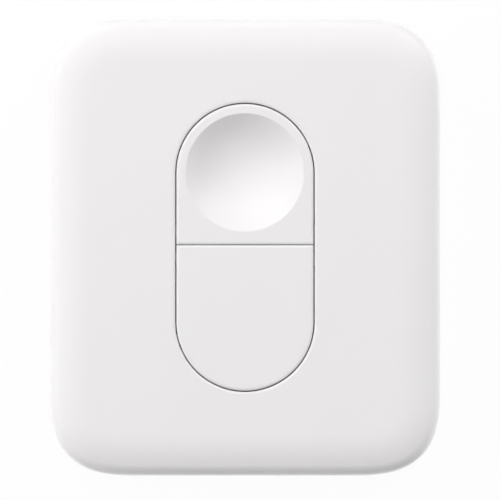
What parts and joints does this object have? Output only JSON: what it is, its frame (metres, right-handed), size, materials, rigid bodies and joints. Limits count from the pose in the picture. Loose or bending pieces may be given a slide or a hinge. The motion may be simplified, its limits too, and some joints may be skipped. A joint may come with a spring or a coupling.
{
  "type": "wireless dimmer remote control",
  "caption": "Hand-held or wall-mounted remote for dimming lights: soft-cornered white body with a pill-shaped well holding a dimpled upper key and a flat lower key.",
  "frame": {"origin": "centre of the flat rear face", "axes": "+X to the right and +Y towards the dimpled key as held, +Z out of the front face"},
  "size_m": [0.068, 0.0794, 0.0156],
  "materials": {
    "white_shell": "fine satin texture",
    "white_key": "fine satin texture",
    "pale_frame": "plain moulded",
    "board": "green solder mask",
    "tinned_steel": "tinned",
    "switch_steel": "stamped",
    "contact_steel": "nickel plated",
    "tinned_feet": "solder coated",
    "switch_body": "black moulded",
    "switch_stem": "black moulded",
    "chip_body": "black resin",
    "chip_ceramic": "matt",
    "light_lens": "clear resin",
    "cell_sleeve": "printed sleeve, left plain"
  },
  "bodies": {
    "back": {"back_cover": "white_shell"},
    "unit": {"front_cover": "white_shell", "chassis": "pale_frame", "circuit_board": "board", "radio_shield": "tinned_steel", "crystal": "tinned_steel", "on_switch_cover": "switch_steel", "off_switch_cover": "switch_steel", "pair_switch_cover": "switch_steel", "positive_contact": "contact_steel", "negative_contact": "contact_steel", "on_switch_terminals": "tinned_feet", "off_switch_terminals": "tinned_feet", "pair_switch_terminals": "tinned_feet", "on_switch_base": "switch_body", "off_switch_base": "switch_body", "pair_switch_base": "switch_body", "controller_chip": "chip_body", "capacitors": "chip_ceramic", "status_light": "light_lens", "battery_cell": "cell_sleeve"},
    "on_key": {"on_key": "white_key"},
    "off_key": {"off_key": "white_key"},
    "on_plunger": {"on_switch_plunger": "switch_stem"},
    "off_plunger": {"off_switch_plunger": "switch_stem"},
    "pair_plunger": {"pair_switch_plunger": "switch_stem"}
  },
  "joints": [
    {"name": "unit_lift", "type": "slide", "parent": "back", "child": "unit", "axis": [0, 0, 1], "range_m": [0, 0.03]},
    {"name": "on_key_press", "type": "hinge", "parent": "unit", "child": "on_key", "pos_m": [0, 0.00283, 0.0122], "axis": [-1, 0, 0], "range_deg": [0, 2.25], "stiffness_Nm_per_rad": 0.3, "springref_deg": -1.72},
    {"name": "on_switch_press", "type": "slide", "parent": "unit", "child": "on_plunger", "axis": [0, 0, -1], "range_m": [0, 0.0004]},
    {"name": "off_key_press", "type": "hinge", "parent": "unit", "child": "off_key", "pos_m": [0, -0.00197, 0.0122], "axis": [1, 0, 0], "range_deg": [0, 2.07], "stiffness_Nm_per_rad": 0.3, "springref_deg": -1.72},
    {"name": "off_switch_press", "type": "slide", "parent": "unit", "child": "off_plunger", "axis": [0, 0, -1], "range_m": [0, 0.0004]},
    {"name": "pair_switch_press", "type": "slide", "parent": "unit", "child": "pair_plunger", "axis": [0, 0, 1], "range_m": [0, 0.00025], "stiffness_N_per_m": 300, "springref_m": -0.0005}
  ],
  "couplings": [
    {"joint": "on_switch_press", "follows": "on_key_press", "m_per_rad": 0.01017},
    {"joint": "off_switch_press", "follows": "off_key_press", "m_per_rad": 0.01103}
  ]
}
